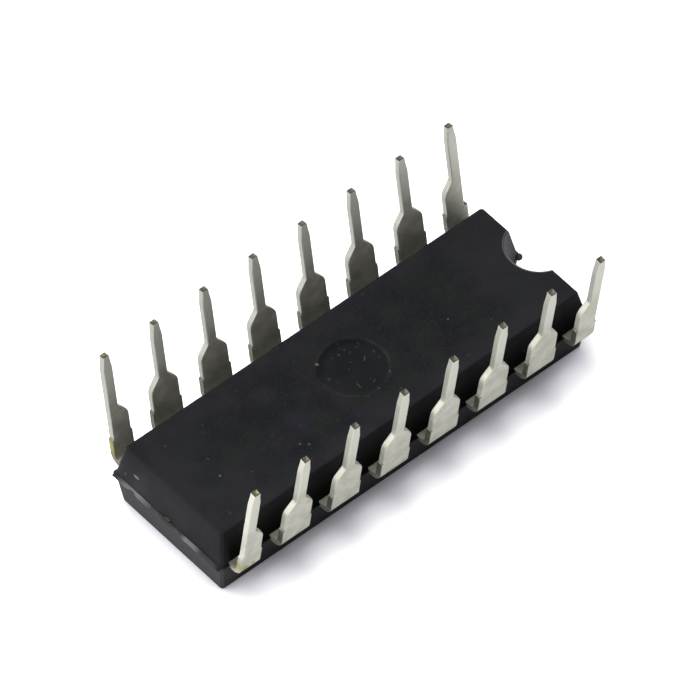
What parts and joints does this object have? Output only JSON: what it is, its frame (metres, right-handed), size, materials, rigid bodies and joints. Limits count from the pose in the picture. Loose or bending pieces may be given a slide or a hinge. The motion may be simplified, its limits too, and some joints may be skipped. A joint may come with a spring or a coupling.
{
  "type": "dip integrated circuit chip",
  "caption": "Dual in-line integrated circuit package: moulded body with an end notch and two rows of formed, tinned leads that go through a circuit board.",
  "frame": {"origin": "centre of the marked face, which the chip lies on, at the middle of its length and width", "axes": "+X along the body towards its notched end, +Y across to the row with leads 9 to 16, +Z out of the underside, along the leads"},
  "size_m": [0.0194, 0.0094, 0.0072],
  "materials": {
    "mould_compound": "matte",
    "tinned_lead": "satin",
    "copper_alloy": "satin",
    "die_adhesive": "satin",
    "silicon": "polished",
    "gold_wire": "polished"
  },
  "bodies": {
    "root": {"moulded_body": "mould_compound", "die_paddle": "copper_alloy", "die_attach": "die_adhesive", "die": "silicon", "lead_01": "tinned_lead", "lead_02": "tinned_lead", "lead_03": "tinned_lead", "lead_04": "tinned_lead", "lead_05": "tinned_lead", "lead_06": "tinned_lead", "lead_07": "tinned_lead", "lead_08": "tinned_lead", "lead_09": "tinned_lead", "lead_10": "tinned_lead", "lead_11": "tinned_lead", "lead_12": "tinned_lead", "lead_13": "tinned_lead", "lead_14": "tinned_lead", "lead_15": "tinned_lead", "lead_16": "tinned_lead", "bond_wire_01": "gold_wire", "bond_wire_02": "gold_wire", "bond_wire_03": "gold_wire", "bond_wire_04": "gold_wire", "bond_wire_05": "gold_wire", "bond_wire_06": "gold_wire", "bond_wire_07": "gold_wire", "bond_wire_08": "gold_wire", "bond_wire_09": "gold_wire", "bond_wire_10": "gold_wire", "bond_wire_11": "gold_wire", "bond_wire_12": "gold_wire", "bond_wire_13": "gold_wire", "bond_wire_14": "gold_wire", "bond_wire_15": "gold_wire", "bond_wire_16": "gold_wire"}
  },
  "joints": []
}
